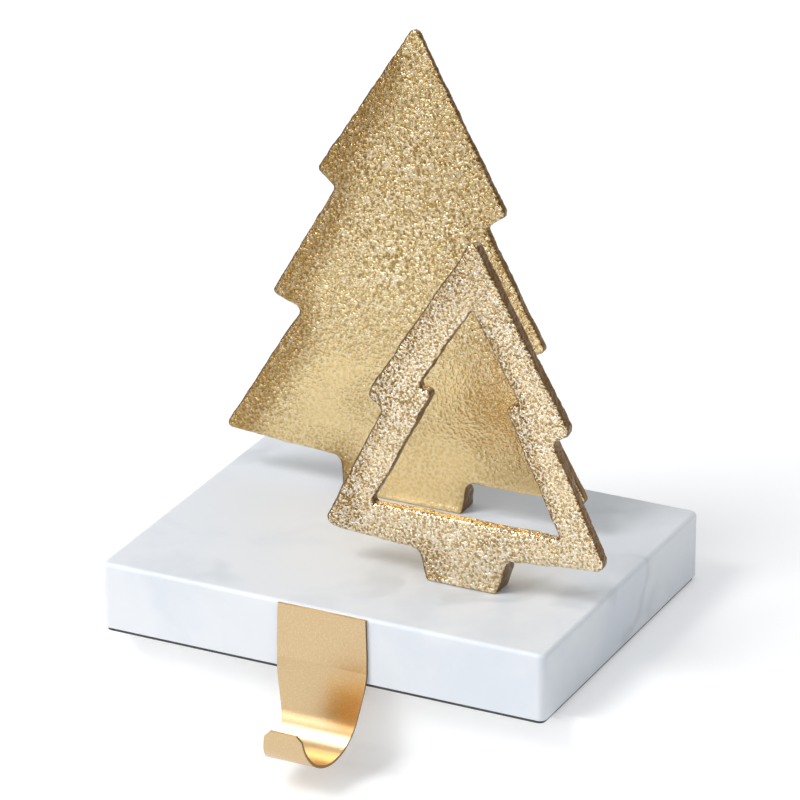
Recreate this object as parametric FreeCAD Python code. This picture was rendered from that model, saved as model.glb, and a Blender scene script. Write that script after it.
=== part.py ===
import FreeCAD, Part
import math
import os
from collections import namedtuple

# Mantel stocking holder: a marble slab carries two sand-cast trees on screws from
# below, and a bent sheet hook hangs from its front face over the mantel's edge.
# Millimetres, +Z up, the front faces -Y. The origin is the middle of the underside
# that rests on the mantel, so the hook reaches below it.

Vector = FreeCAD.Vector
Corner = namedtuple("Corner", "reach height droop radius")

# Marble slab
SLAB_WIDTH = 150.0
SLAB_DEPTH = 116.0
SLAB_HEIGHT = 22.0
SLAB_CORNER_RADIUS = 2.5
SLAB_TOP_EASE = 1.5
SLAB_FOOT_EASE = 0.5

# Thin foam sheet glued under the slab
SHEET_THICKNESS = 1.0
SHEET_INSET = 0.8
SHEET_CORNER_RADIUS = 2.0

# Both castings: the pattern leans a little to the right as it rises
CAST_LEAN_DEG = 1.5
TRUNK_DEPTH = 10.0
TRUNK_REAR_RADIUS = 1.5
BACK_RIM_RADIUS = 0.5
RIB_HEIGHT = 18.0
RIB_TOP_HALF_WIDTH = 7.0

# Rear tree, a solid plate with three tiers that gets thinner towards its apex. Heights
# are above the slab, reaches are from the tree's own centre line, a notch drops below
# its tier's tip, and a droop is how much lower a tier hangs on the right than on the left.
REAR_CENTRE_X = -11.4
REAR_FRONT_Y = 22.0
REAR_FOOT_THICKNESS = 4.8
REAR_APEX_THICKNESS = 3.1
REAR_RIM_RADIUS = 1.2
REAR_APEX_HEIGHT = 159.4
REAR_APEX_RADIUS = 2.0
REAR_TOP_TIP_HEIGHT = 104.8
REAR_TOP_TIP_REACH = 32.4
REAR_TOP_NOTCH_DROP = 5.1
REAR_TOP_NOTCH_REACH = 25.8
REAR_TOP_DROOP = 4.8
REAR_MIDDLE_TIP_HEIGHT = 61.5
REAR_MIDDLE_TIP_REACH = 47.3
REAR_MIDDLE_NOTCH_DROP = 4.2
REAR_MIDDLE_NOTCH_REACH = 37.0
REAR_MIDDLE_DROOP = 3.6
REAR_LOW_TIP_HEIGHT = 12.5
REAR_LOW_TIP_REACH = 63.3
REAR_LOW_DROOP = 3.2
REAR_TRUNK_TOP_HEIGHT = 11.3
REAR_TRUNK_TOP_HALF_WIDTH = 22.0
REAR_TRUNK_DROOP = 0.4
REAR_FOOT_HALF_WIDTH = 20.8
REAR_TIP_RADIUS = 1.6
REAR_NOTCH_RADIUS = 1.5
REAR_TRUNK_FILLET = 3.4

# Front tree, an open frame with two tiers; its right side hangs higher
FRONT_CENTRE_X = 32.2
FRONT_FRONT_Y = -26.2
FRONT_THICKNESS = 5.0
FRONT_RIM_RADIUS = 1.3
FRONT_APEX_HEIGHT = 114.4
FRONT_APEX_RADIUS = 2.2
FRONT_TOP_TIP_HEIGHT = 57.2
FRONT_TOP_TIP_REACH = 34.1
FRONT_TOP_NOTCH_DROP = 3.6
FRONT_TOP_NOTCH_REACH = 28.4
FRONT_TOP_DROOP = 0.2
FRONT_LOW_TIP_HEIGHT = 13.2
FRONT_LOW_TIP_REACH = 47.8
FRONT_LOW_DROOP = -2.8
FRONT_TRUNK_TOP_HEIGHT = 10.4
FRONT_TRUNK_TOP_HALF_WIDTH = 14.9
FRONT_TRUNK_DROOP = -1.8
FRONT_FOOT_HALF_WIDTH = 11.9
FRONT_TIP_RADIUS = 2.8
FRONT_NOTCH_RADIUS = 1.6
FRONT_TRUNK_FILLET = 2.0

# The window in the front tree: how far each of its corners lies inside the outline's,
# and how far it sits to the right of the tree's own centre line
WINDOW_APEX_DROP = 22.4
WINDOW_SHIFT = 0.3
WINDOW_TIP_INSET = 17.3
WINDOW_TIP_RISE = 6.2
WINDOW_NOTCH_INSET = 16.5
WINDOW_NOTCH_RISE = 8.6
WINDOW_SILL_INSET = 16.3
WINDOW_SILL_RISE = 8.8
WINDOW_CORNER_RADIUS = 0.9
WINDOW_NOTCH_RADIUS = 1.5

# Screws from under the slab into the trunks, with a washer under each head
SCREW_DIAMETER = 4.0
SCREW_HEAD_DIAMETER = 7.6
SCREW_HEAD_HEIGHT = 3.0
SCREW_SOCKET_FLATS = 2.5
SCREW_SOCKET_DEPTH = 1.6
SCREW_ENGAGEMENT = 8.0
THREAD_CLEARANCE = 0.1
TAPPED_DEPTH = 9.5
SLAB_HOLE_CLEARANCE = 0.5
COUNTERBORE_DIAMETER = 10.0
COUNTERBORE_DEPTH = 7.0
WASHER_DIAMETER = 9.0
WASHER_THICKNESS = 0.8
WASHER_CLEARANCE = 0.3
REAR_SCREW_SPACING = 24.0
FRONT_SCREW_SPACING = 13.0

# Sheet hook on the slab's front face. Lengths run along its front face, from the
# top edge down the flat back, down the slant, round the bend and up the lip.
HOOK_CENTRE_X = 1.35
HOOK_TOP_DROP = 0.5
HOOK_THICKNESS = 0.9
HOOK_FLAT_LENGTH = 17.8
HOOK_SLANT_LENGTH = 15.0
HOOK_SLANT_DEG = 8.2
HOOK_BEND_RADIUS = 11.5
HOOK_LIP_LENGTH = 1.6
HOOK_TOP_WIDTH = 29.6
HOOK_SHOULDER_WIDTH = 30.3
HOOK_SHOULDER_LENGTH = 12.0
HOOK_TAPER_START = 21.0
HOOK_TAPER_BLEND = 4.0
HOOK_TIP_WIDTH = 11.9
HOOK_TIP_CHAMFER = 1.5

# Studs brazed to the hook's back, glued into blind holes in the slab
STUD_DIAMETER = 4.0
STUD_LENGTH = 12.0
STUD_SPACING = 16.0
STUD_CLEARANCE = 0.4
STUD_HOLE_SPARE = 0.6

# The most of a straight side that the rounding of one corner may take up
CORNER_SHARE = 0.45

# Worked out from the sizes above
SLAB_FOOT = SHEET_THICKNESS
SLAB_TOP = SLAB_FOOT + SLAB_HEIGHT
SLAB_FRONT = -SLAB_DEPTH / 2
LEAN = math.tan(math.radians(CAST_LEAN_DEG))
EDGE_STATIONS = 48
CUT_SPARE = 2.0

# Each tree's right half, from under its apex to its foot
REAR_HALF = (
    Corner(REAR_TOP_TIP_REACH, REAR_TOP_TIP_HEIGHT, REAR_TOP_DROOP, REAR_TIP_RADIUS),
    Corner(REAR_TOP_NOTCH_REACH, REAR_TOP_TIP_HEIGHT - REAR_TOP_NOTCH_DROP,
           REAR_TOP_DROOP, REAR_NOTCH_RADIUS),
    Corner(REAR_MIDDLE_TIP_REACH, REAR_MIDDLE_TIP_HEIGHT, REAR_MIDDLE_DROOP, REAR_TIP_RADIUS),
    Corner(REAR_MIDDLE_NOTCH_REACH, REAR_MIDDLE_TIP_HEIGHT - REAR_MIDDLE_NOTCH_DROP,
           REAR_MIDDLE_DROOP, REAR_NOTCH_RADIUS),
    Corner(REAR_LOW_TIP_REACH, REAR_LOW_TIP_HEIGHT, REAR_LOW_DROOP, REAR_TIP_RADIUS),
    Corner(REAR_TRUNK_TOP_HALF_WIDTH, REAR_TRUNK_TOP_HEIGHT, REAR_TRUNK_DROOP, REAR_TRUNK_FILLET),
    Corner(REAR_FOOT_HALF_WIDTH, 0, 0, 0),
)
FRONT_HALF = (
    Corner(FRONT_TOP_TIP_REACH, FRONT_TOP_TIP_HEIGHT, FRONT_TOP_DROOP, FRONT_TIP_RADIUS),
    Corner(FRONT_TOP_NOTCH_REACH, FRONT_TOP_TIP_HEIGHT - FRONT_TOP_NOTCH_DROP,
           FRONT_TOP_DROOP, FRONT_NOTCH_RADIUS),
    Corner(FRONT_LOW_TIP_REACH, FRONT_LOW_TIP_HEIGHT, FRONT_LOW_DROOP, FRONT_TIP_RADIUS),
    Corner(FRONT_TRUNK_TOP_HALF_WIDTH, FRONT_TRUNK_TOP_HEIGHT, FRONT_TRUNK_DROOP, FRONT_TRUNK_FILLET),
    Corner(FRONT_FOOT_HALF_WIDTH, 0, 0, 0),
)
WINDOW_INSETS = (
    (WINDOW_TIP_INSET, WINDOW_TIP_RISE, WINDOW_CORNER_RADIUS),
    (WINDOW_NOTCH_INSET, WINDOW_NOTCH_RISE, WINDOW_NOTCH_RADIUS),
    (WINDOW_SILL_INSET, WINDOW_SILL_RISE, WINDOW_CORNER_RADIUS),
)


def corner_arc(before, corner, after, radius):
    """Start, middle and end of the arc that rounds a corner, within its two sides."""
    room = CORNER_SHARE * min((before - corner).Length, (after - corner).Length)
    back = (before - corner).normalize()
    ahead = (after - corner).normalize()
    half_angle = back.getAngle(ahead) / 2
    bisector = (back + ahead).normalize()
    cut = min(radius / math.tan(half_angle), room)
    radius = cut * math.tan(half_angle)
    centre = corner + bisector * (radius / math.sin(half_angle))
    return corner + back * cut, centre - bisector * radius, corner + ahead * cut


def rounded_face(corners):
    """A flat face through (point, radius) corners, each rounded unless its radius is 0."""
    points = [point for point, radius in corners]
    arcs = []
    for index, (point, radius) in enumerate(corners):
        following = points[(index + 1) % len(points)]
        if radius > 0:
            arcs.append(corner_arc(points[index - 1], point, following, radius))
        else:
            arcs.append((point, point, point))
    edges = []
    for index, (start, middle, end) in enumerate(arcs):
        if corners[index][1] > 0:
            edges.append(Part.Arc(start, middle, end).toShape())
        edges.append(Part.LineSegment(end, arcs[(index + 1) % len(arcs)][0]).toShape())
    return Part.Face(Part.Wire(edges))


def rim_edges(shape, foot_y, apex_y, apex_height):
    """The edges of one face, which may slope back, apart from the one under the foot."""
    edges = []
    for edge in shape.Edges:
        ends = [edge.valueAt(at) for at in (edge.FirstParameter, edge.LastParameter)]
        slope = (apex_y - foot_y) / apex_height
        if all(abs(end.y - foot_y - slope * end.z) < 1e-6 for end in ends):
            if max(end.z for end in ends) > 1e-6:
                edges.append(edge)
    return edges


def rounded_box(width, depth, height, radius, foot):
    """A slab centred on Z with rounded upright corners, standing at height foot."""
    x = width / 2
    y = depth / 2
    corners = [Vector(x, y, foot), Vector(-x, y, foot), Vector(-x, -y, foot), Vector(x, -y, foot)]
    face = rounded_face([(corner, radius) for corner in corners])
    return face.extrude(Vector(0, 0, height))


def screw_places(centre_x, front_y, spacing):
    """Where the two screws of one tree stand: across the middle of its trunk."""
    return [Vector(centre_x + side * spacing / 2, front_y + TRUNK_DEPTH / 2, 0) for side in (-1, 1)]


def all_screw_places():
    """Both trees' screws."""
    rear = screw_places(REAR_CENTRE_X, REAR_FRONT_Y, REAR_SCREW_SPACING)
    front = screw_places(FRONT_CENTRE_X, FRONT_FRONT_Y, FRONT_SCREW_SPACING)
    return rear + front


def stud_places():
    """Where the hook's studs enter the slab's front face, halfway up the slab."""
    z = SLAB_FOOT + SLAB_HEIGHT / 2
    return [Vector(HOOK_CENTRE_X + side * STUD_SPACING / 2, SLAB_FRONT, z) for side in (-1, 1)]


def make_slab():
    """The marble slab, eased all round, with its counterbores and stud holes."""
    slab = rounded_box(SLAB_WIDTH, SLAB_DEPTH, SLAB_HEIGHT, SLAB_CORNER_RADIUS, SLAB_FOOT)
    top = [edge for edge in slab.Edges if edge.BoundBox.ZMin > SLAB_TOP - 1e-6]
    slab = slab.makeFillet(SLAB_TOP_EASE, top)
    foot = [edge for edge in slab.Edges if edge.BoundBox.ZMax < SLAB_FOOT + 1e-6]
    slab = slab.makeFillet(SLAB_FOOT_EASE, foot)
    hole_radius = (SCREW_DIAMETER + SLAB_HOLE_CLEARANCE) / 2
    cuts = []
    for place in all_screw_places():
        foot_point = place + Vector(0, 0, SLAB_FOOT)
        cuts.append(Part.makeCylinder(hole_radius, SLAB_HEIGHT, foot_point))
        cuts.append(Part.makeCylinder(COUNTERBORE_DIAMETER / 2, COUNTERBORE_DEPTH, foot_point))
    for place in stud_places():
        radius = (STUD_DIAMETER + STUD_CLEARANCE) / 2
        cuts.append(Part.makeCylinder(radius, STUD_LENGTH + STUD_HOLE_SPARE, place, Vector(0, 1, 0)))
    return slab.cut(Part.makeCompound(cuts))


def make_sheet():
    """The foam sheet that keeps the slab from sliding."""
    return rounded_box(SLAB_WIDTH - 2 * SHEET_INSET, SLAB_DEPTH - 2 * SHEET_INSET,
                       SHEET_THICKNESS, SHEET_CORNER_RADIUS, 0)


def placed(side, corner):
    """A corner on the right (+1) or left (-1) side, leaning and drooping as cast."""
    x = side * corner.reach + LEAN * corner.height
    return Vector(x, 0, corner.height - side * corner.droop / 2), corner.radius


def tree_face(apex_height, apex_radius, half):
    """The whole outline from its right half: apex, down the right, up the left."""
    apex = placed(1, Corner(0, apex_height, 0, apex_radius))
    right = [placed(1, corner) for corner in half]
    left = [placed(-1, corner) for corner in reversed(half)]
    return rounded_face([apex] + right + left)


def window_half(outline_half):
    """The window's corners, each set in from the outline corner it follows."""
    corners = []
    for corner, (inset, rise, radius) in zip(outline_half, WINDOW_INSETS):
        corners.append(Corner(corner.reach - inset, corner.height + rise, 0, radius))
    return corners


def plate(face, foot_thickness, apex_thickness, apex_height, front_radius):
    """A cast plate: flat in front, its back sloping if it thins, its front rims well rounded."""
    deepest = max(foot_thickness, apex_thickness)
    slab = face.extrude(Vector(0, deepest, 0))
    reach = 2 * apex_height
    above = apex_thickness + (apex_thickness - foot_thickness)
    side = Part.Face(Part.makePolygon([
        Vector(-reach, 0, 0), Vector(-reach, foot_thickness, 0),
        Vector(-reach, above, 2 * apex_height), Vector(-reach, 0, 2 * apex_height),
        Vector(-reach, 0, 0)]))
    slab = slab.common(side.extrude(Vector(2 * reach, 0, 0)))
    slab = slab.makeFillet(front_radius, rim_edges(slab, 0, 0, apex_height))
    return slab.makeFillet(BACK_RIM_RADIUS, rim_edges(slab, foot_thickness, apex_thickness, apex_height))


def trunk_block(foot, under, thickness):
    """The deeper trunk behind the plate, which tapers up its back like a gusset."""
    side_height = under.height - 1.5 * under.radius
    side_reach = foot.reach + (under.reach - foot.reach) * side_height / under.height
    side = Corner(side_reach, side_height, 0, under.radius)
    top = Corner(RIB_TOP_HALF_WIDTH, RIB_HEIGHT, 0, under.radius)
    right = [placed(1, corner) for corner in (top, side, foot)]
    left = [placed(-1, corner) for corner in (foot, side, top)]
    start = thickness / 2
    face = rounded_face(right + left)
    face.translate(Vector(0, start, 0))
    block = face.extrude(Vector(0, TRUNK_DEPTH - start, 0))
    rims = rim_edges(block, TRUNK_DEPTH, TRUNK_DEPTH, RIB_HEIGHT)
    block = block.makeFillet(TRUNK_REAR_RADIUS, rims)
    reach = 2 * foot.reach
    slope = Part.Face(Part.makePolygon([
        Vector(-reach, 0, 0), Vector(-reach, TRUNK_DEPTH, 0), Vector(-reach, TRUNK_DEPTH, side_height),
        Vector(-reach, 0, 2 * RIB_HEIGHT - side_height), Vector(-reach, 0, 0)]))
    return block.common(slope.extrude(Vector(2 * reach, 0, 0)))


def make_tree(cast_plate, thickness, half, centre_x, front_y, spacing):
    """A plate joined to its deeper trunk, with its two tapped holes."""
    tree = cast_plate.fuse(trunk_block(half[-1], half[-2], thickness)).removeSplitter()
    tree.translate(Vector(centre_x, front_y, SLAB_TOP))
    radius = (SCREW_DIAMETER + THREAD_CLEARANCE) / 2
    for place in screw_places(centre_x, front_y, spacing):
        tree = tree.cut(Part.makeCylinder(radius, TAPPED_DEPTH, place + Vector(0, 0, SLAB_TOP)))
    return tree


def make_rear_tree():
    """The tall solid tree at the back of the slab."""
    face = tree_face(REAR_APEX_HEIGHT, REAR_APEX_RADIUS, REAR_HALF)
    cast_plate = plate(face, REAR_FOOT_THICKNESS, REAR_APEX_THICKNESS, REAR_APEX_HEIGHT, REAR_RIM_RADIUS)
    return make_tree(cast_plate, REAR_FOOT_THICKNESS, REAR_HALF,
                     REAR_CENTRE_X, REAR_FRONT_Y, REAR_SCREW_SPACING)


def make_front_tree():
    """The small open tree at the front, with its tree-shaped window."""
    outline = tree_face(FRONT_APEX_HEIGHT, FRONT_APEX_RADIUS, FRONT_HALF)
    window_apex = FRONT_APEX_HEIGHT - WINDOW_APEX_DROP
    window = tree_face(window_apex, WINDOW_CORNER_RADIUS, window_half(FRONT_HALF))
    window.translate(Vector(WINDOW_SHIFT, 0, 0))
    cast_plate = plate(outline.cut(window), FRONT_THICKNESS, FRONT_THICKNESS,
                       FRONT_APEX_HEIGHT, FRONT_RIM_RADIUS)
    return make_tree(cast_plate, FRONT_THICKNESS, FRONT_HALF,
                     FRONT_CENTRE_X, FRONT_FRONT_Y, FRONT_SCREW_SPACING)


def hook_length():
    """The strip's whole length along its front face."""
    turn = math.radians(180 - HOOK_SLANT_DEG)
    return HOOK_FLAT_LENGTH + HOOK_SLANT_LENGTH + HOOK_BEND_RADIUS * turn + HOOK_LIP_LENGTH


def hook_fold(along, depth):
    """Depth and height of the point of the bent strip that lies this far along it.

    Depth 0 is the front face, which becomes the inside of the bend, and a depth of
    one thickness is the back face that lies on the slab.
    """
    slant = math.radians(HOOK_SLANT_DEG)
    y = SLAB_FRONT - HOOK_THICKNESS
    z = SLAB_TOP - HOOK_TOP_DROP
    if along <= HOOK_FLAT_LENGTH:
        return Vector(0, y + depth, z - along)
    z -= HOOK_FLAT_LENGTH
    run = min(along - HOOK_FLAT_LENGTH, HOOK_SLANT_LENGTH)
    y -= run * math.sin(slant)
    z -= run * math.cos(slant)
    rest = along - HOOK_FLAT_LENGTH - run
    angle = min(rest / HOOK_BEND_RADIUS, math.pi - slant)
    centre = Vector(0, y - HOOK_BEND_RADIUS * math.cos(slant), z + HOOK_BEND_RADIUS * math.sin(slant))
    turned = slant + angle
    radius = HOOK_BEND_RADIUS + depth
    point = centre + Vector(0, radius * math.cos(turned), -radius * math.sin(turned))
    return point + Vector(0, 0, max(rest - HOOK_BEND_RADIUS * (math.pi - slant), 0))


def hook_half_width(along):
    """Half the strip's width: nearly straight down its back, then a long taper."""
    if along < HOOK_SHOULDER_LENGTH:
        share = along / HOOK_SHOULDER_LENGTH
        return (HOOK_TOP_WIDTH + (HOOK_SHOULDER_WIDTH - HOOK_TOP_WIDTH) * share) / 2
    taper_length = hook_length() - HOOK_TAPER_START
    slope = (HOOK_SHOULDER_WIDTH - HOOK_TIP_WIDTH) / 2 / taper_length
    past = along - HOOK_TAPER_START
    if past < -HOOK_TAPER_BLEND:
        return HOOK_SHOULDER_WIDTH / 2
    if past < HOOK_TAPER_BLEND:
        return HOOK_SHOULDER_WIDTH / 2 - slope * (past + HOOK_TAPER_BLEND) ** 2 / (4 * HOOK_TAPER_BLEND)
    return HOOK_SHOULDER_WIDTH / 2 - slope * past


def hook_profile():
    """The strip seen from the side: flat, slant, bend and lip, one thickness deep."""
    slant_end = HOOK_FLAT_LENGTH + HOOK_SLANT_LENGTH
    bend_end = hook_length() - HOOK_LIP_LENGTH
    bend_middle = (slant_end + bend_end) / 2
    mitre = HOOK_THICKNESS * math.tan(math.radians(HOOK_SLANT_DEG) / 2)
    knee = hook_fold(HOOK_FLAT_LENGTH, HOOK_THICKNESS) - Vector(0, 0, mitre)
    inner = [hook_fold(along, 0) for along in (0, HOOK_FLAT_LENGTH, slant_end, bend_end, hook_length())]
    outer = [hook_fold(along, HOOK_THICKNESS) for along in (0, slant_end, bend_end, hook_length())]
    inner_arc = Part.Arc(inner[2], hook_fold(bend_middle, 0), inner[3])
    outer_arc = Part.Arc(outer[1], hook_fold(bend_middle, HOOK_THICKNESS), outer[2])
    runs = [(inner[0], inner[1]), (inner[1], inner[2]), (inner[3], inner[4]), (inner[4], outer[3]),
            (outer[3], outer[2]), (outer[1], knee), (knee, outer[0]), (outer[0], inner[0])]
    edges = [Part.LineSegment(start, end).toShape() for start, end in runs]
    edges += [inner_arc.toShape(), outer_arc.toShape()]
    return Part.Face(Part.Wire(Part.__sortEdges__(edges)))


def edge_curve(side, depth):
    """The curve that one edge of the blank becomes once the strip is bent."""
    length = hook_length()
    points = []
    for station in range(EDGE_STATIONS + 1):
        along = length * station / EDGE_STATIONS
        point = hook_fold(along, depth)
        points.append(Vector(side * hook_half_width(along), point.y, point.z))
    first = points[0] + (points[0] - points[1])
    last = points[-1] + (points[-1] - points[-2])
    through = [first] + points + [last]
    curve = Part.BSplineCurve()
    curve.interpolate(Points=through, Parameters=[float(index) for index in range(len(through))])
    return Part.Wire(curve.toShape())


def side_waste(side):
    """What is cut off beside the strip: all that lies outside one edge of the blank."""
    near = edge_curve(side, -CUT_SPARE)
    far = edge_curve(side, HOOK_THICKNESS + CUT_SPARE)
    wall = Part.makeLoft([near, far], False, True).Faces[0]
    return wall.extrude(Vector(side * HOOK_SHOULDER_WIDTH, 0, 0))


def lip_corner(side):
    """The little prism that takes one corner off the end of the lip."""
    end = hook_fold(hook_length(), 0)
    out = HOOK_TIP_WIDTH / 2 + CUT_SPARE
    low = HOOK_TIP_CHAMFER + CUT_SPARE
    start = end.y - HOOK_THICKNESS - CUT_SPARE
    face = Part.Face(Part.makePolygon([
        Vector(side * out, start, end.z - low), Vector(side * out, start, end.z + CUT_SPARE),
        Vector(side * (out - low - CUT_SPARE), start, end.z + CUT_SPARE),
        Vector(side * out, start, end.z - low)]))
    return face.extrude(Vector(0, HOOK_THICKNESS + 2 * CUT_SPARE, 0))


def make_hook():
    """The bent strip, cut to its taper, with its lip's corners cut off."""
    profile = hook_profile()
    full = HOOK_SHOULDER_WIDTH + 2 * CUT_SPARE
    profile.translate(Vector(-full / 2, 0, 0))
    strip = profile.extrude(Vector(full, 0, 0))
    for side in (-1, 1):
        strip = strip.cut(side_waste(side)).cut(lip_corner(side))
    strip.translate(Vector(HOOK_CENTRE_X, 0, 0))
    return strip.Solids[0]


def make_studs():
    """The two studs behind the hook, one solid each."""
    studs = [Part.makeCylinder(STUD_DIAMETER / 2, STUD_LENGTH, place, Vector(0, 1, 0))
             for place in stud_places()]
    return Part.makeCompound(studs)


def make_screw(place):
    """A socket screw, head down in its counterbore, its end in the trunk."""
    seat = SLAB_FOOT + COUNTERBORE_DEPTH - WASHER_THICKNESS
    end = SLAB_TOP + SCREW_ENGAGEMENT
    head_foot = place + Vector(0, 0, seat - SCREW_HEAD_HEIGHT)
    head = Part.makeCylinder(SCREW_HEAD_DIAMETER / 2, SCREW_HEAD_HEIGHT, head_foot)
    rim = [edge for edge in head.Edges if edge.BoundBox.ZMax < head_foot.z + 1e-6]
    head = head.makeFillet(SCREW_HEAD_HEIGHT / 5, rim)
    shank = Part.makeCylinder(SCREW_DIAMETER / 2, end - seat, place + Vector(0, 0, seat))
    tip = [edge for edge in shank.Edges if edge.BoundBox.ZMin > end - 1e-6]
    shank = shank.makeChamfer(SCREW_DIAMETER / 8, tip)
    across_corners = SCREW_SOCKET_FLATS / math.cos(math.pi / 6)
    hexagon = [Vector(across_corners / 2 * math.cos(math.pi / 3 * k),
                      across_corners / 2 * math.sin(math.pi / 3 * k), 0) + head_foot for k in range(7)]
    socket = Part.Face(Part.makePolygon(hexagon)).extrude(Vector(0, 0, SCREW_SOCKET_DEPTH))
    return head.cut(socket).fuse(shank).removeSplitter()


def make_washer(place):
    """The washer between a screw's head and the marble."""
    seat = place + Vector(0, 0, SLAB_FOOT + COUNTERBORE_DEPTH - WASHER_THICKNESS)
    disc = Part.makeCylinder(WASHER_DIAMETER / 2, WASHER_THICKNESS, seat)
    hole = Part.makeCylinder((SCREW_DIAMETER + WASHER_CLEARANCE) / 2, WASHER_THICKNESS, seat)
    return disc.cut(hole)


def build():
    """Every node of the holder, by name."""
    return {
        "marble_base": make_slab(),
        "non_slip_sheet": make_sheet(),
        "rear_tree": make_rear_tree(),
        "front_tree": make_front_tree(),
        "stocking_hook": make_hook(),
        "hook_studs": make_studs(),
        "tree_screws": Part.makeCompound([make_screw(place) for place in all_screw_places()]),
        "tree_washers": Part.makeCompound([make_washer(place) for place in all_screw_places()]),
    }


os.makedirs("parts", exist_ok=True)
for name, shape in build().items():
    shape.exportStep("parts/" + name + ".step")
    box = shape.BoundBox
    print(name, "solids", len(shape.Solids), "valid", shape.isValid(), "volume", round(shape.Volume, 1),
          "x", round(box.XMin, 1), round(box.XMax, 1), "y", round(box.YMin, 1), round(box.YMax, 1),
          "z", round(box.ZMin, 1), round(box.ZMax, 1))
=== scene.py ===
# %% [markdown]
# # Mantel stocking holder
# The holder is a marble slab with two cast metal trees screwed to it and a bent sheet
# hook on its front face. All its sizes were settled in CAD, so this notebook only loads
# those solids and gives each one the surface and the finish of the real piece. The trees
# get a rough cast skin in real geometry, and the rest keeps its CAD shape.

# %% Load the frame
import math

import bpy
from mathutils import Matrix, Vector


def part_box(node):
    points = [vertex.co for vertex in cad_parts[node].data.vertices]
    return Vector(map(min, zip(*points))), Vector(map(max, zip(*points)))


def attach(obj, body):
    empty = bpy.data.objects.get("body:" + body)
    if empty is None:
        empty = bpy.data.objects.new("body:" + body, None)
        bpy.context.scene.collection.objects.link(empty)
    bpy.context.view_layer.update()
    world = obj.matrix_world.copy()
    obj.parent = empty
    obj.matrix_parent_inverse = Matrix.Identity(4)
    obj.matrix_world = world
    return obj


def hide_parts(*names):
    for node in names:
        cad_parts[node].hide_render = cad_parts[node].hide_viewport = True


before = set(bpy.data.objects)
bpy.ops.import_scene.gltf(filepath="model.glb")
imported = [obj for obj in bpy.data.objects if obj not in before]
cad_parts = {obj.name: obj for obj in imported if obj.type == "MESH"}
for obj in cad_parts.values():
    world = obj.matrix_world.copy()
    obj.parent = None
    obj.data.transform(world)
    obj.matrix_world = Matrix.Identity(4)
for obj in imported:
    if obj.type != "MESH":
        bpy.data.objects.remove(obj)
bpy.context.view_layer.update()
MM = 0.001
print("nodes:", sorted(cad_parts))

# %% [markdown]
# ## Node trees written as sums
# Finishes and the cast skin are both node trees. Wiring them node by node hides what they
# work out, so a value is wrapped in a small class: an expression such as 1 - mask adds its
# own Math node. Every other node comes from one method, which first sets what kind of node
# it is and then fills in its sockets.

# %% A value on a node tree
class Value:
    """An output socket that can be used in a sum."""

    def __init__(self, bench, socket):
        self.bench = bench
        self.socket = socket

    def __add__(self, other):
        return self.bench.math("ADD", self, other)

    def __radd__(self, other):
        return self.bench.math("ADD", other, self)

    def __sub__(self, other):
        return self.bench.math("SUBTRACT", self, other)

    def __rsub__(self, other):
        return self.bench.math("SUBTRACT", other, self)

    def __mul__(self, other):
        return self.bench.math("MULTIPLY", self, other)

    def __rmul__(self, other):
        return self.bench.math("MULTIPLY", other, self)

    def __truediv__(self, other):
        return self.bench.math("DIVIDE", self, other)

    def __rtruediv__(self, other):
        return self.bench.math("DIVIDE", other, self)

    def __abs__(self):
        return self.bench.math("ABSOLUTE", self)

    def at_least(self, other):
        """The larger of two values."""
        return self.bench.math("MAXIMUM", self, other)

    def between(self, low, high):
        """0 below low, 1 above high, and a smooth rise from one to the other."""
        settings = {"interpolation_type": "SMOOTHSTEP"}
        return self.bench.node("ShaderNodeMapRange", settings, {0: self, 1: low, 2: high})


# %% The bench that node trees are wired on
class Bench:
    """A node tree being wired."""

    def __init__(self, tree):
        self.tree = tree

    def node(self, kind, settings=None, inputs=None, output=0):
        """Any node: its settings first, then the values or links of its sockets."""
        made = self.tree.nodes.new(kind)
        for name, setting in (settings or {}).items():
            setattr(made, name, setting)
        for name, value in (inputs or {}).items():
            if isinstance(value, Value):
                self.tree.links.new(value.socket, made.inputs[name])
            else:
                made.inputs[name].default_value = value
        return Value(self, made.outputs[output]) if made.outputs else None

    def math(self, operation, *values):
        """One Math node on numbers or values."""
        return self.node("ShaderNodeMath", {"operation": operation}, dict(enumerate(values)))

    def vector_math(self, operation, *vectors, output="Vector"):
        """One Vector Math node. Its output is a vector, or a number called Value."""
        inputs = dict(enumerate(vectors))
        return self.node("ShaderNodeVectorMath", {"operation": operation}, inputs, output)

    def scaled(self, vector, factor):
        """A vector made longer or shorter."""
        inputs = {0: vector, "Scale": factor}
        return self.node("ShaderNodeVectorMath", {"operation": "SCALE"}, inputs)

    def part(self, vector, axis):
        """One coordinate of a vector."""
        return self.node("ShaderNodeSeparateXYZ", {}, {0: vector}, axis)

    def blend(self, factor, first, second):
        """A colour between two others. A colour is three numbers or a Value."""
        first, second = [c if isinstance(c, Value) else (*c, 1.0) for c in (first, second)]
        inputs = {0: factor, 6: first, 7: second}
        return self.node("ShaderNodeMix", {"data_type": "RGBA"}, inputs, 2)

    def noise(self, place, scale, detail=2.0, roughness=0.5, colour=False):
        """Noise between 0 and 1 with lumps about 1 / scale across."""
        inputs = {"Vector": place, "Scale": scale, "Detail": detail, "Roughness": roughness}
        return self.node("ShaderNodeTexNoise", {}, inputs, "Color" if colour else 0)

    def warped(self, place, scale, reach, detail=2.0):
        """A place pulled about by noise, so that a pattern on it loses its evenness."""
        drift = self.noise(place, scale, detail, colour=True)
        return self.vector_math("ADD", place, self.scaled(drift, reach))


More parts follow.
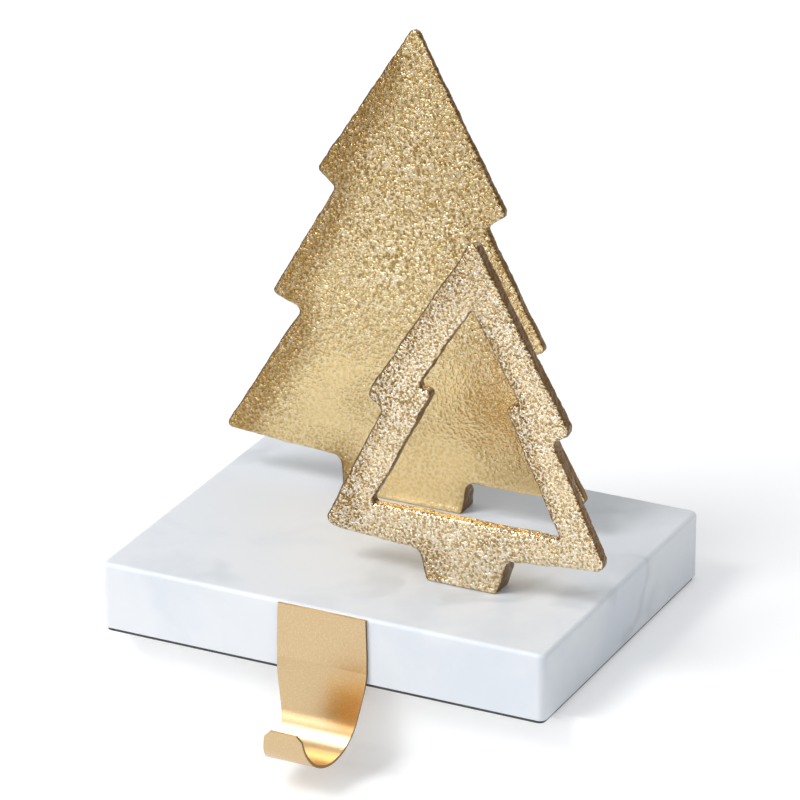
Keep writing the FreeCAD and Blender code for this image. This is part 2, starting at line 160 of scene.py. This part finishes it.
# %% A finish on its own bench
class Finish(Bench):
    """A material whose pattern is measured in millimetres on the piece."""

    def __init__(self, name):
        self.material = bpy.data.materials.new(name)
        self.material.use_nodes = True
        super().__init__(self.material.node_tree)
        self.tree.nodes.clear()
        place = self.node("ShaderNodeTexCoord", {}, {}, "Object")
        self.place = self.scaled(place, 1 / MM)

    def facing(self, axis):
        """How far the surface faces along one axis, from -1 to 1."""
        return self.part(self.node("ShaderNodeNewGeometry", {}, {}, "Normal"), axis)

    def bump(self, height, depth_mm):
        """Relief in the shading only. Height 0 to 1 stands for this depth."""
        return self.node("ShaderNodeBump", {}, {"Height": height, "Distance": depth_mm * MM})

    def surface(self, **sockets):
        """The shader and its output. Underscores in a socket's name stand for spaces."""
        inputs = {name.replace("_", " ").title(): value for name, value in sockets.items()}
        shader = self.node("ShaderNodeBsdfPrincipled", {}, inputs)
        self.node("ShaderNodeOutputMaterial", {}, {"Surface": shader})
        print("finish:", self.material.name, "nodes:", len(self.tree.nodes))
        return self.material


# %% [markdown]
# ## The cast gold finish
# The trees are sand castings with a pale gold coat. The sand leaves a leathery skin:
# rounded lumps with creases between them. The lumps that are about two millimetres apart
# become real geometry further down. The finer ones, about a millimetre wide, would need
# millions of faces, so they stay in the finish. One warped noise is used twice: as relief
# in the shading, and to paint highlights on the crests and shade in the creases. That
# keeps colour and relief together from any side.
#
# The skin isn't even. It is smoother near the foot and rougher higher up, in patches and
# along the left borders. Painted shade darkens those borders and the top of the tall tree,
# and low down the coat has a few faint darker patches. The side walls are painted dark
# brown, partly their own unpolished colour and partly painted shade. The tall tree was
# cast in coarser sand than the small one, so both finishes come from one function with
# different sizes.

# %% Colours of the castings
CAST_GOLD = (0.83, 0.63, 0.315)
# Painted highlight on the tall tree's crests. It also lightens the brass grain.
PALE_HIGHLIGHT_AND_GRAIN = (1.0, 0.91, 0.73)
CAST_LIGHT_GOLD = (0.85, 0.67, 0.40)
# Painted highlight on the small tree's crests.
SILVERY_HIGHLIGHT = (1.0, 0.96, 0.90)
# Painted shade in the creases.
CREASE_SHADE = (0.26, 0.14, 0.03)
# Painted shade at the left borders and the top of the tall tree, and a few darker patches low
# down.
DARK_PATCHES_AND_SHADE = (0.34, 0.20, 0.055)
# Dark brown of the side walls, partly their own colour and partly painted shade. The hook's cut
# edges use it too.
WALL_SHADE_AND_CUT_EDGE_BROWN = (0.18, 0.09, 0.02)

# %% [markdown]
# Each range below runs from where a mask begins to where it is full. Hills are noise
# levels, heights are millimetres above the shelf, and walls are told from faces by how
# far they face sideways. The left border is an attribute that the cast skin stores on
# the mesh further down: it grows from 0 towards the left rim of a face.

# %% Where the gold changes
CREASE_TO_BODY = (0.38, 0.50)
BODY_TO_CREST = (0.50, 0.66)
PATCH_LEVELS = (0.3, 0.7)
LOW_TO_MIDDLE = (60.0, 110.0)
MIDDLE_TO_TOP = (80.0, 150.0)
LEFT_WALL = (0.15, 0.5)
RIGHT_WALL = (0.45, 0.8)
BORDER = "left border"
BORDER_LEVELS = (0.005, 0.17)

# %% How rough the skin is, and how strong its colours
ROUGH_EVERYWHERE = 0.15
ROUGHER_HIGH_UP = 0.5
ROUGHER_IN_PATCHES = 0.25
ROUGHER_AT_BORDER = 0.4
CREASE_SHADE_STRENGTH = 0.85
LOW_DARKER_PATCHES = 0.12
TOP_PAINTED_SHADE = 0.28
BORDER_SHADE_STRENGTH = 1.15
WALL_BROWN_AND_SHADE_STRENGTH = 0.95


def colour_gold(gold, body, crest_highlight, border_shade, hills, rough, darker_patches_and_shade, border, wall):
    """The coat's colour: painted crease shade and crest highlights, then darker places and walls.
    """
    # Painted shade darkens the creases, and painted highlights pale the crests.
    crease_shade = (1 - hills.between(*CREASE_TO_BODY)) * rough * CREASE_SHADE_STRENGTH
    colour = gold.blend(crease_shade, body, CREASE_SHADE)
    colour = gold.blend(hills.between(*BODY_TO_CREST) * rough, colour, crest_highlight)
    # A few darker patches low down, and painted shade near the top.
    colour = gold.blend(darker_patches_and_shade, colour, DARK_PATCHES_AND_SHADE)
    # The painted shade of the borders shows least on the crests.
    colour = gold.blend(border * (BORDER_SHADE_STRENGTH - hills) * border_shade, colour, DARK_PATCHES_AND_SHADE)
    # The side walls turn dark brown, partly their own colour and partly painted shade.
    return gold.blend(wall * WALL_BROWN_AND_SHADE_STRENGTH, colour, WALL_SHADE_AND_CUT_EDGE_BROWN)


# %% Cast gold
def make_cast_gold(name, body, crest_highlight, border_shade, lump_mm, relief_mm, smooth_below, rough_above):
    """The skin of one tree: its colours, its lumps' size, and where it is smoother."""
    gold = Finish(name)
    # What pulls the lumps about is three times as coarse as the lumps themselves.
    warped = gold.warped(gold.place, 0.4 / lump_mm, reach=1.2 * lump_mm)
    hills = gold.noise(warped, 1.2 / lump_mm, detail=1.0)
    height = gold.part(gold.place, "Z")
    patches = gold.noise(gold.place, 0.04).between(*PATCH_LEVELS)
    border = gold.node("ShaderNodeAttribute", {"attribute_name": BORDER}, {}, "Fac")
    border = border.between(*BORDER_LEVELS)
    aside = gold.facing("X")
    wall = (0 - aside).between(*LEFT_WALL).at_least(aside.between(*RIGHT_WALL))

    rough = (height.between(smooth_below, rough_above) * ROUGHER_HIGH_UP + ROUGH_EVERYWHERE
             + patches * ROUGHER_IN_PATCHES + border * ROUGHER_AT_BORDER)
    # Painted shade darkens the top of the tall tree, and low down a few patches are darker.
    darker_patches_and_shade = (patches * (1 - height.between(*LOW_TO_MIDDLE)) * LOW_DARKER_PATCHES
             + height.between(*MIDDLE_TO_TOP) * TOP_PAINTED_SHADE)
    colour = colour_gold(gold, body, crest_highlight, border_shade, hills, rough, darker_patches_and_shade, border, wall)
    return gold.surface(base_color=colour, metallic=1.0, roughness=0.17 + wall * 0.18,
                        coat_weight=0.2, coat_roughness=0.08,
                        normal=gold.bump(hills * rough, relief_mm))


# %% One finish for each tree
REAR_SKIN = {"smooth_below": 60.0, "rough_above": 125.0}
FRONT_SKIN = {"smooth_below": 0.0, "rough_above": 40.0}
rear_gold = make_cast_gold("coarse cast gold", CAST_GOLD, PALE_HIGHLIGHT_AND_GRAIN,
                           border_shade=1.25, lump_mm=1.2, relief_mm=0.85, **REAR_SKIN)
front_gold = make_cast_gold("fine cast gold", CAST_LIGHT_GOLD, SILVERY_HIGHLIGHT,
                            border_shade=0.45, lump_mm=1.0, relief_mm=0.7, **FRONT_SKIN)

# %% [markdown]
# ## White marble
# The slab is honed white marble: nearly white, with cloudy blue-grey patches and a few
# soft veins. A photograph of marble would need to be wrapped round the slab's edges, but
# a pattern on the piece's own coordinates runs through the stone as the real one does.
# Veins in marble are healed cracks, so they are drawn as the thin line where a warped
# noise crosses its middle value, and they fade out in places.

# %% Marble
MARBLE_WHITE = (0.83, 0.85, 0.88)
MARBLE_CLOUD = (0.72, 0.76, 0.81)
MARBLE_VEIN = (0.50, 0.53, 0.56)
CLOUD_LEVELS = (0.42, 0.68)
CLOUD_STRENGTH = 0.8
VEIN_WIDTH = (0.0, 0.035)
VEIN_PLACES = (0.45, 0.65)
VEIN_STRENGTH = 0.35


def make_white_marble():
    """The slab's stone."""
    stone = Finish("white marble")
    warped = stone.warped(stone.place, 0.03, reach=26.0, detail=3.0)
    clouds = stone.noise(warped, 0.02, detail=5.0, roughness=0.6).between(*CLOUD_LEVELS)
    crack = abs(stone.noise(warped, 0.012, detail=3.0, roughness=0.55) - 0.5)
    shown = stone.noise(stone.place, 0.02, detail=1.0).between(*VEIN_PLACES)
    vein = (1 - crack.between(*VEIN_WIDTH)) * shown
    colour = stone.blend(clouds * CLOUD_STRENGTH, MARBLE_WHITE, MARBLE_CLOUD)
    colour = stone.blend(vein * VEIN_STRENGTH, colour, MARBLE_VEIN)
    crystals = stone.noise(stone.place, 2.5, detail=3.0)
    return stone.surface(base_color=colour, roughness=0.36 + crystals * 0.1,
                         normal=stone.bump(crystals, 0.012))


white_marble = make_white_marble()

# %% [markdown]
# ## Satin brass
# The hook is bent from sheet with a satin gold finish: smooth to the eye, with a very
# fine rolled grain that runs up and down. Just above the bend, on its right side, an amber
# patch is a painted warm reflection. It has a soft ragged edge, so it is a distance from
# one place on the sheet, made uneven by noise. The cut edges of the sheet are darker, and
# they are told from its faces by how far they face sideways. Noise that is drawn out up
# and down gives the grain, where separate scratches would take thousands of them.

# %% Brass
BRASS_PALE = (0.65, 0.465, 0.25)
# Painted warm reflection: the amber patch above the bend, and where it lies.
BRASS_WARM_REFLECTION = (0.66, 0.35, 0.075)
WARM_REFLECTION_MIDDLE = (12.0, -62.0, -5.0)
WARM_REFLECTION_EDGE = (6.0, 16.0)
WARM_REFLECTION_RAGGED_MM = 6.0
GRAIN_STRETCH = (1.0, 1.0, 0.35)
GRAIN_LEVELS = (0.45, 0.7)
GRAIN_STRENGTH = 0.25
WARM_REFLECTION_STRENGTH = 0.85
CUT_EDGE = (0.5, 0.8)
CUT_STRENGTH = 0.9


def make_satin_brass():
    """The hook's sheet."""
    brass = Finish("satin brass")
    rolled = brass.vector_math("MULTIPLY", brass.place, GRAIN_STRETCH)
    grain = brass.noise(rolled, 6.0, roughness=0.6)
    # A painted warm reflection: amber round one place above the bend, with a ragged edge.
    apart = brass.vector_math("DISTANCE", brass.place, WARM_REFLECTION_MIDDLE, output="Value")
    ragged = brass.noise(brass.place, 0.15) * WARM_REFLECTION_RAGGED_MM
    warm_reflection = 1 - (apart + ragged).between(*WARM_REFLECTION_EDGE)
    colour = brass.blend(warm_reflection * WARM_REFLECTION_STRENGTH, BRASS_PALE, BRASS_WARM_REFLECTION)
    colour = brass.blend(grain.between(*GRAIN_LEVELS) * GRAIN_STRENGTH, colour, PALE_HIGHLIGHT_AND_GRAIN)
    cut = abs(brass.facing("X")).between(*CUT_EDGE)
    colour = brass.blend(cut * CUT_STRENGTH, colour, WALL_SHADE_AND_CUT_EDGE_BROWN)
    return brass.surface(base_color=colour, metallic=1.0, roughness=0.28 + grain * 0.08,
                         coat_weight=0.15, coat_roughness=0.2,
                         normal=brass.bump(grain, 0.016))


satin_brass = make_satin_brass()

# %% [markdown]
# ## Foam and steel
# The sheet under the slab is matt foam, pitted by its cut cells, and a cell pattern gives
# those pits. The screws and washers are plain zinc-plated steel with a faint mottle.
# Nobody sees them until the holder is taken apart, so both finishes stay simple.

# %% Foam and fixings
FOAM_DARK = (0.055, 0.055, 0.057)
FOAM_LIGHT = (0.11, 0.11, 0.112)
ZINC_DARK = (0.56, 0.57, 0.59)
ZINC_LIGHT = (0.66, 0.67, 0.68)


def make_black_foam():
    """The sheet under the slab."""
    foam = Finish("black foam")
    pores = foam.node("ShaderNodeTexVoronoi", {}, {"Vector": foam.place, "Scale": 2.2}, "Distance")
    colour = foam.blend(pores, FOAM_DARK, FOAM_LIGHT)
    return foam.surface(base_color=colour, roughness=0.9, normal=foam.bump(pores, 0.08))


def make_zinc_steel():
    """The screws and washers."""
    zinc = Finish("zinc steel")
    mottle = zinc.noise(zinc.place, 0.9, detail=3.0)
    colour = zinc.blend(mottle, ZINC_DARK, ZINC_LIGHT)
    return zinc.surface(base_color=colour, metallic=1.0, roughness=0.3 + mottle * 0.12)


black_foam = make_black_foam()
zinc_steel = make_zinc_steel()

# %% [markdown]
# ## The pieces that keep their CAD shape
# The slab, the foam, the hook and the fixings are smooth machined or bent pieces, so the
# CAD solid is already their true form. They only get a finish in their material slots.

# %% Finish the CAD pieces
FINISHES = {
    "marble_base": white_marble,
    "non_slip_sheet": black_foam,
    "stocking_hook": satin_brass,
    "hook_studs": satin_brass,
    "tree_screws": zinc_steel,
    "tree_washers": zinc_steel,
}

for name, material in FINISHES.items():
    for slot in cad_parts[name].material_slots:
        slot.material = material
    print(name, "is finished in", material.name)

# %% [markdown]
# ## The cast skin
# A sand casting is never flat. The sand leaves lumps on its faces, the mould's wall slumps
# so that outlines wander by a few tenths of a millimetre, and the thin plate swells and
# sags a little towards its rims. Sculpting that by hand would be slow, and it would be
# different on each tree. It follows one rule, so Geometry Nodes do it: every point moves
# outwards by fine lumps, through the plate's thickness by a slow swell and the sag of the
# rims, and along the plate by a slow wander. The lumps are lower where the skin is
# smoother, and right at the foot nothing moves, so the trunk still stands flat on the slab.
#
# To know how near a rim is, the nodes blur the surface's normals over the mesh. In the
# middle of a face they all agree and the blurred one keeps its length. Near a rim the
# walls pull it round and it gets shorter, and its sideways part says on which side the
# rim lies. That part is stored as the attribute that the gold finish reads.

# %% Sizes of the cast skin
# Each tree sets the last three for itself.
SKIN_SIZES = {
    "Lump Height": 0.33 * MM,
    "Lump Spacing": 1.95 * MM,
    "Wander": 0.55 * MM,
    "Wander Spacing": 9.0 * MM,
    "Swell": 0.5 * MM,
    "Swell Spacing": 24.0 * MM,
    "Edge Sag": 0.8 * MM,
    "Foot Height": 0.0,
    "Smooth Below": 0.0,
    "Rough Above": 0.0,
}
BLUR_STEPS = 500
FOOT_FADE = 3.0 * MM
LOWEST_LUMPS = 0.18
THROUGH_PLATE = (0.0, 1.0, 0.0)
ALONG_PLATE = (1.0, 0.0, 1.0)


def start_tree(name, sizes):
    """A Geometry Nodes tree with named inputs: its bench, and each input as a value."""
    tree = bpy.data.node_groups.new(name, "GeometryNodeTree")
    tree.interface.new_socket("Geometry", in_out="INPUT", socket_type="NodeSocketGeometry")
    for size in sizes:
        tree.interface.new_socket(size, in_out="INPUT", socket_type="NodeSocketFloat")
    tree.interface.new_socket("Finish", in_out="INPUT", socket_type="NodeSocketMaterial")
    tree.interface.new_socket("Geometry", in_out="OUTPUT", socket_type="NodeSocketGeometry")
    bench = Bench(tree)
    names = ("Geometry", *sizes, "Finish")
    return bench, {name: bench.node("NodeGroupInput", output=name) for name in names}


# %% How far each point moves
def skin_offset(bench, given, place, normal, blurred):
    """The move of one point of the skin."""
    def swing(spacing, detail, roughness=0.5):
        """Noise from about -1 to 1."""
        return (bench.noise(place, 1 / given[spacing], detail, roughness) - 0.5) * 2

    height = bench.part(place, "Z")
    free = (height - given["Foot Height"]).between(0.0, FOOT_FADE)
    rise = height.between(given["Smooth Below"], given["Rough Above"])
    coarse = LOWEST_LUMPS + (1 - LOWEST_LUMPS) * rise
    flatness = bench.vector_math("LENGTH", blurred, output="Value")
    through = bench.vector_math("MULTIPLY", normal, THROUGH_PLATE)
    along = bench.vector_math("MULTIPLY", normal, ALONG_PLATE)

    lumps = swing("Lump Spacing", 2.0, 0.55) * given["Lump Height"] * coarse
    bow = swing("Swell Spacing", 1.0) * given["Swell"] - (1 - flatness) * given["Edge Sag"]
    wander = swing("Wander Spacing", 1.0) * given["Wander"]
    outwards = bench.scaled(normal, lumps * free)
    bowed = bench.vector_math("ADD", outwards, bench.scaled(through, bow * free))
    return bench.vector_math("ADD", bowed, bench.scaled(along, wander * free))


# %% The nodes that move the skin
def make_cast_skin():
    """Marks the left borders, moves the skin and gives it its finish."""
    bench, given = start_tree("cast skin", SKIN_SIZES)
    place = bench.node("GeometryNodeInputPosition")
    normal = bench.node("GeometryNodeInputNormal")
    blurred = bench.node("GeometryNodeBlurAttribute", {"data_type": "FLOAT_VECTOR"},
                         {0: normal, "Iterations": BLUR_STEPS})
    marked = bench.node(
        "GeometryNodeStoreNamedAttribute", {"data_type": "FLOAT", "domain": "POINT"},
        {"Geometry": given["Geometry"], "Name": BORDER, "Value": 0 - bench.part(blurred, "X")})
    offset = skin_offset(bench, given, place, normal, blurred)
    moved = bench.node("GeometryNodeSetPosition", {}, {"Geometry": marked, "Offset": offset})
    smooth = bench.node("GeometryNodeSetShadeSmooth", {}, {0: moved})
    whole = bench.node("GeometryNodeRealizeInstances", {}, {0: smooth})
    painted = bench.node("GeometryNodeSetMaterial", {}, {
        "Geometry": whole, "Material": given["Finish"]})
    bench.node("NodeGroupOutput", {}, {"Geometry": painted})
    return bench.tree


cast_skin = make_cast_skin()
print("cast skin nodes:", len(cast_skin.nodes))

# %% [markdown]
# ## Casting both trees
# The skin needs an even mesh, and a CAD solid has a few long triangles. So a copy of the
# solid has its loose triangles joined and is rebuilt with small voxels. Voxels leave fine
# steps on slanting faces, so a light smoothing comes next, and the skin last. Subdividing
# the CAD triangles would need no smoothing, but it keeps their slivers, and lumps on
# slivers look torn.

# %% Tools for casting
VOXEL = 0.52 * MM
JOIN_WITHIN = 0.002 * MM
STEP_SMOOTHING = 4


def even_copy(node, name):
    """A free copy of a CAD node with its triangles joined and an even mesh."""
    piece = bpy.data.objects.new(name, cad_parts[node].data.copy())
    bpy.context.collection.objects.link(piece)
    weld = piece.modifiers.new("weld", "WELD")
    weld.merge_threshold = JOIN_WITHIN
    even = piece.modifiers.new("even mesh", "REMESH")
    even.mode = "VOXEL"
    even.voxel_size = VOXEL
    soft = piece.modifiers.new("soft steps", "SMOOTH")
    soft.iterations = STEP_SMOOTHING
    return piece


def add_skin(piece, sizes, finish):
    """The cast skin on a piece, with its inputs set by their identifiers."""
    skin = piece.modifiers.new("cast skin", "NODES")
    skin.node_group = cast_skin
    values = {**sizes, "Finish": finish}
    for item in cast_skin.interface.items_tree:
        if item.in_out == "INPUT" and item.name in values:
            skin[item.identifier] = values[item.name]


def settle(piece):
    """Turns a piece's modifiers into plain mesh."""
    graph = bpy.context.evaluated_depsgraph_get()
    mesh = bpy.data.meshes.new_from_object(piece.evaluated_get(graph))
    piece.modifiers.clear()
    piece.data = mesh


# %% Cast both trees
def cast_tree(node, name, finish, smooth_below, rough_above):
    """The rough casting that stands for one CAD tree."""
    piece = even_copy(node, name)
    own_sizes = {
        "Foot Height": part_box(node)[0].z,
        "Smooth Below": smooth_below * MM,
        "Rough Above": rough_above * MM,
    }
    add_skin(piece, {**SKIN_SIZES, **own_sizes}, finish)
    settle(piece)
    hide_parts(node)
    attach(piece, "root")
    print(name, "triangles:", sum(len(p.vertices) - 2 for p in piece.data.polygons))


cast_tree("rear_tree", "rear_casting", rear_gold, **REAR_SKIN)
cast_tree("front_tree", "front_casting", front_gold, **FRONT_SKIN)

# %% [markdown]
# ## The shelf
# The holder stands at the edge of a shelf, so that its hook hangs free. One strip makes
# the shelf's top, its rounded front and the lower floor. It is plain and pale, and to the
# camera and in reflections it glows just enough to reach white wherever no shadow falls,
# so the lamps can stay at a plain level. Far to the left, where the camera doesn't look,
# the paint turns light grey: the flat faces of the castings mirror that part of the floor,
# and a floor that is white everywhere would leave the metal without depth.
#
# The shelf's top lies a twentieth of a millimetre below the foam, because two faces at
# exactly the same height would flicker.

# %% Shelf
SHELF_FRONT = -49.0 * MM
SHELF_TOP = -0.05 * MM
EDGE_RADIUS = 2.0 * MM
LOWER_FLOOR = -29.0 * MM
COVE_RADIUS = 6.0 * MM
ARC_STEPS = 8
STAGE_REACH = 3.0


def arc(y, z, radius, start, end):
    """Points along a part of a circle round (y, z), from one angle to another in degrees."""
    shares = [step / ARC_STEPS for step in range(ARC_STEPS + 1)]
    turns = [math.radians(start + (end - start) * share) for share in shares]
    return [(y + radius * math.cos(turn), z + radius * math.sin(turn)) for turn in turns]


def stage_profile():
    """The strip's side view as (y, z): the top, its rounded edge, the cove and the floor."""
    edge = arc(SHELF_FRONT + EDGE_RADIUS, SHELF_TOP - EDGE_RADIUS, EDGE_RADIUS, 90, 180)
    cove = arc(SHELF_FRONT - COVE_RADIUS, LOWER_FLOOR + COVE_RADIUS, COVE_RADIUS, 0, -90)
    return [(STAGE_REACH, SHELF_TOP), *edge, *cove, (-STAGE_REACH, LOWER_FLOOR)]


# %% The stage's paint
STAGE_PALE = (0.82, 0.82, 0.82, 1.0)
STAGE_GREY = (0.45, 0.45, 0.45, 1.0)
STAGE_GLOW = 0.28
LEFTWARD = (-0.9, -0.44, 0.0)
PALE_TO_GREY = (0.17, 0.31)
WHITE = (1.0, 1.0, 1.0, 1.0)


def clear_bench(owner):
    """A bench on the emptied node tree of a material or a world."""
    owner.use_nodes = True
    owner.node_tree.nodes.clear()
    return Bench(owner.node_tree)


def seen_directly(bench):
    """1 where the camera, a reflection or a clear piece looks, otherwise 0."""
    names = ("Is Camera Ray", "Is Glossy Ray", "Is Transmission Ray")
    camera, glossy, clear = [bench.node("ShaderNodeLightPath", {}, {}, name) for name in names]
    return camera.at_least(glossy).at_least(clear)


def make_stage_paint():
    """Pale paint that reaches white for the camera and keeps the shadows."""
    material = bpy.data.materials.new("pale stage")
    bench = clear_bench(material)
    place = bench.node("ShaderNodeTexCoord", {}, {}, "Object")
    leftward = bench.vector_math("DOT_PRODUCT", place, LEFTWARD, output="Value")
    paint = bench.node("ShaderNodeBsdfDiffuse", {}, {"Color": STAGE_PALE})
    glow = bench.node("ShaderNodeEmission", {}, {
        "Color": WHITE, "Strength": seen_directly(bench) * STAGE_GLOW})
    pale = bench.node("ShaderNodeAddShader", {}, {0: paint, 1: glow})
    grey = bench.node("ShaderNodeBsdfDiffuse", {}, {"Color": STAGE_GREY})
    both = bench.node("ShaderNodeMixShader", {}, {
        0: leftward.between(*PALE_TO_GREY), 1: pale, 2: grey})
    bench.node("ShaderNodeOutputMaterial", {}, {"Surface": both})
    return material


# %% Lay the stage
def make_stage():
    """The strip, from far left to far right."""
    profile = stage_profile()
    count = len(profile)
    points = [(x, y, z) for x in (-STAGE_REACH, STAGE_REACH) for y, z in profile]
    faces = [(k, k + 1, count + k + 1, count + k) for k in range(count - 1)]
    mesh = bpy.data.meshes.new("stage")
    mesh.from_pydata(points, [], faces)
    mesh.materials.append(make_stage_paint())
    for polygon in mesh.polygons:
        polygon.use_smooth = True
    stage = bpy.data.objects.new("stage", mesh)
    bpy.context.collection.objects.link(stage)
    print("stage faces:", len(mesh.polygons))
    return stage


stage = make_stage()

# %% [markdown]
# ## World and lamps
# Metal looks like what it mirrors, so the room matters as much as the lamps. What the
# camera or the metal sees is a white backdrop near the horizon that dims upwards, most of
# all towards the front, where a room would be: it is also warmer there. Facets of the
# castings that tilt up mirror that room, and this gives the skin its depth. Everything
# else gets soft, even, slightly cool light.
#
# Two soft boxes stand at the front left. The key lamp is high and makes the shadows. The
# low strip gives the facets their glints, because only facets that tilt steeply could
# mirror a high lamp.

# %% World
AMBIENT = 0.60
AMBIENT_COLOUR = (0.93, 0.965, 1.0, 1.0)
PALE_BACKDROP = (1.0, 1.0, 1.0)
WARM_ROOM = (1.0, 0.80, 0.56)
BACKDROP_FADE = (0.0, 0.25)
FRONT_TO_BACK = (-0.5, 0.1)
ROOM_ABOVE = 0.55
ROOM_IN_FRONT = 0.28


def make_world():
    """A white backdrop up to a dim ceiling for what looks at it, and soft even light."""
    world = bpy.data.worlds.new("studio")
    bpy.context.scene.world = world
    bench = clear_bench(world)
    direction = bench.node("ShaderNodeTexCoord", {}, {}, "Generated")
    above = bench.part(direction, "Z").between(*BACKDROP_FADE)
    front = 1 - bench.part(direction, "Y").between(*FRONT_TO_BACK)
    tint = bench.blend(above * front, PALE_BACKDROP, WARM_ROOM)
    backdrop = 1 - above * (ROOM_ABOVE + front * ROOM_IN_FRONT)
    even = bench.node("ShaderNodeBackground", {}, {"Color": AMBIENT_COLOUR, "Strength": AMBIENT})
    seen = bench.node("ShaderNodeBackground", {}, {"Color": tint, "Strength": backdrop})
    mixed = bench.node("ShaderNodeMixShader", {}, {0: seen_directly(bench), 1: even, 2: seen})
    bench.node("ShaderNodeOutputWorld", {}, {"Surface": mixed})
    print("world nodes:", len(bench.tree.nodes))


make_world()

# %% Lamps
LAMPS_AIM = Vector((0.0, 0.0, 0.07))


def area_lamp(name, place, size, watts):
    """A soft box that looks at the middle of the holder."""
    light = bpy.data.lights.new(name, "AREA")
    light.shape = "RECTANGLE"
    light.size, light.size_y = size
    light.energy = watts
    lamp = bpy.data.objects.new(name, light)
    bpy.context.collection.objects.link(lamp)
    lamp.location = place
    lamp.rotation_mode = "QUATERNION"
    lamp.rotation_quaternion = (LAMPS_AIM - Vector(place)).to_track_quat("-Z", "Y")
    print(name, "lamp:", watts, "watts")


area_lamp("key", place=(-1.5, -1.5, 2.6), size=(1.35, 1.35), watts=57.0)
area_lamp("strip", place=(-0.94, -1.63, 0.60), size=(1.1, 0.7), watts=7.0)

# %% [markdown]
# ## The camera
# A long lens about a metre and a half away, as a product photographer uses, so that the
# slab's edges stay nearly parallel. The place and the lens were fitted to the slab's edges.

# %% Camera
EYE = Vector((0.6646, -1.3614, 0.7229))
LOOKS_AT = Vector((0.00055, -0.00326, 0.0703))
LENS_MM = 241.92
SENSOR_MM = 36.0
SEES_AS_FAR_AS = 20.0


def make_camera():
    """The photograph's own viewpoint."""
    lens = bpy.data.cameras.new("camera")
    lens.sensor_width = SENSOR_MM
    lens.lens = LENS_MM
    lens.clip_end = SEES_AS_FAR_AS
    camera = bpy.data.objects.new("camera", lens)
    bpy.context.collection.objects.link(camera)
    camera.location = EYE
    camera.rotation_mode = "QUATERNION"
    camera.rotation_quaternion = (LOOKS_AT - EYE).to_track_quat("-Z", "Y")
    bpy.context.scene.camera = camera
    print("camera distance in mm:", round((EYE - LOOKS_AT).length / MM))


make_camera()
bpy.context.scene.view_settings.view_transform = "Standard"
